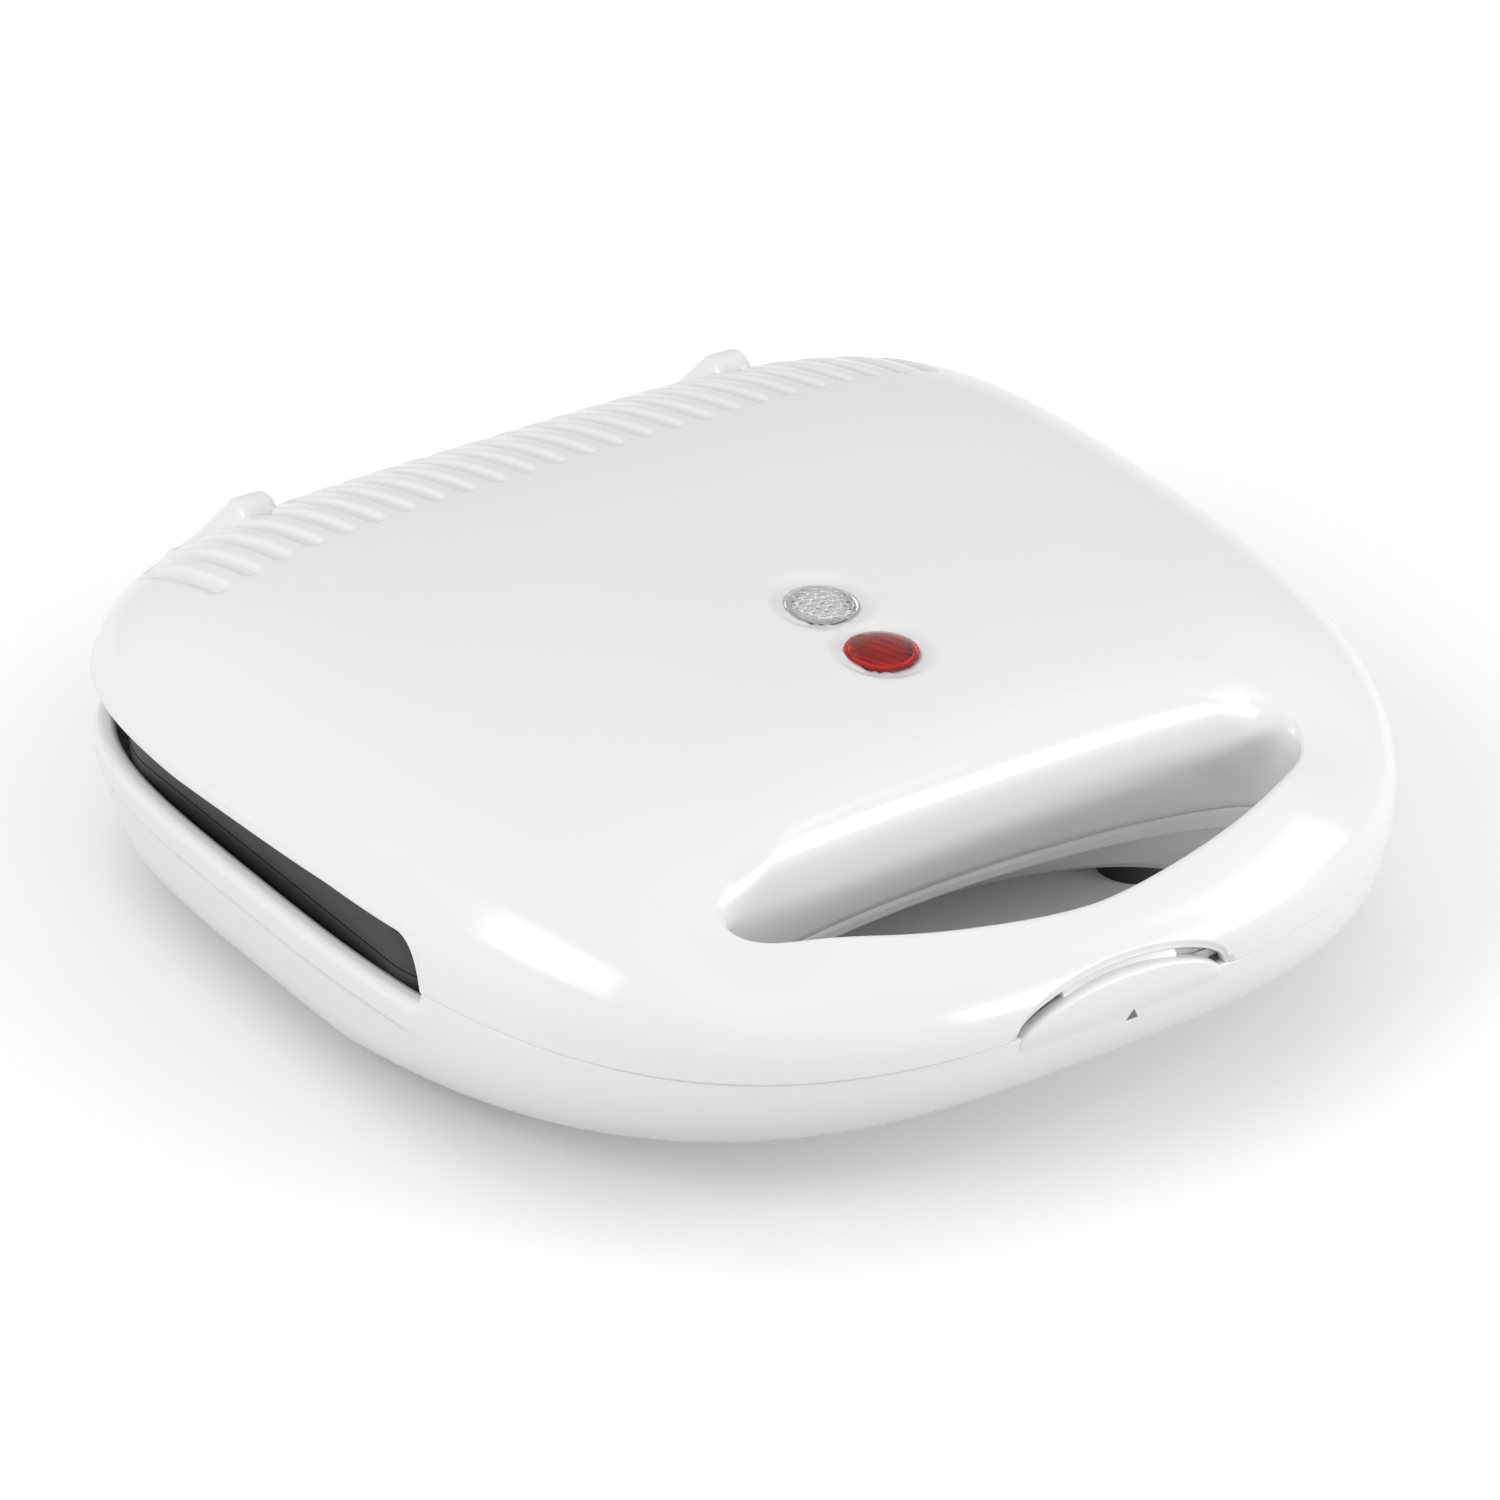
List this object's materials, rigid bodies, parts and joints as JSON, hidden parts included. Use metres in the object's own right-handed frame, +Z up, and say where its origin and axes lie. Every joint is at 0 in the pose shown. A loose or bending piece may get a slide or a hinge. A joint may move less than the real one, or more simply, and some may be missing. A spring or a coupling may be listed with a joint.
{
  "type": "sandwich toaster",
  "caption": "Countertop sandwich toaster: domed lid hinged on a shallow base, pocketed heating plates, through finger opening and spring latch in the front handle.",
  "frame": {"origin": "bottom centre of the closed toaster's box, on the plane it stands on", "axes": "X to the right, Y to the hinge at the back, Z up; the front handle is at -Y"},
  "size_m": [0.23, 0.2374, 0.0786],
  "materials": {
    "white_shell": "white moulded housing plastic, satin gloss",
    "latch_plastic": "white moulded plastic, satin gloss",
    "hidden_plastic": "white moulded plastic, matte",
    "plate_coating": "dark non-stick coated die-cast plate",
    "element_sheath": "oxidised tubular heater sheath",
    "reflector_sheet": "thin bright aluminium sheet",
    "plated_steel": "zinc-plated steel fastener",
    "thermostat_body": "brown moulded switch body",
    "fuse_sleeve": "woven glass sleeve",
    "block_plastic": "cream terminal block",
    "bushing_plastic": "white bushing plastic",
    "lead_insulation": "silicone lead insulation",
    "foot_rubber": "dark moulded rubber",
    "clear_plastic": "clear moulded lens",
    "red_plastic": "red moulded lens",
    "lamp_glass": "small neon lamp glass",
    "spring_steel": "spring steel leaf"
  },
  "bodies": {
    "base": {"base_shell": "white_shell", "base_handle_cover": "hidden_plastic", "lower_plate": "plate_coating", "lower_element": "element_sheath", "lower_reflector": "reflector_sheet", "lower_reflector_screws": "plated_steel", "thermostat": "thermostat_body", "thermal_fuse": "fuse_sleeve", "terminal_block": "block_plastic", "cord_bushing": "bushing_plastic", "cord_clamp": "hidden_plastic", "cord_clamp_screws": "plated_steel", "base_wiring": "lead_insulation", "hinge_pins": "plated_steel", "rubber_feet": "foot_rubber", "lower_plate_screws": "plated_steel", "base_cover_screws": "plated_steel"},
    "lid": {"lid_shell": "white_shell", "lid_handle_cover": "hidden_plastic", "upper_plate": "plate_coating", "upper_element": "element_sheath", "upper_reflector": "reflector_sheet", "upper_reflector_screws": "plated_steel", "clear_lens": "clear_plastic", "red_lens": "red_plastic", "lamp_holder": "block_plastic", "power_lamp": "lamp_glass", "ready_lamp": "lamp_glass", "lamp_holder_screws": "plated_steel", "lid_wiring": "lead_insulation", "upper_plate_screws": "plated_steel", "lid_cover_screws": "plated_steel", "latch_pin": "plated_steel", "latch_spring": "spring_steel"},
    "latch": {"latch_button": "latch_plastic"}
  },
  "joints": [
    {"name": "lid_hinge", "type": "hinge", "parent": "base", "child": "lid", "pos_m": [0, 0.11225, 0.032], "axis": [-1, 0, 0], "range_deg": [0, 95]},
    {"name": "latch_pivot", "type": "hinge", "parent": "lid", "child": "latch", "pos_m": [0, -0.11265, 0.0446], "axis": [-1, 0, 0], "range_deg": [0, 8], "stiffness_Nm_per_rad": 0.2, "springref_deg": -11.46}
  ]
}
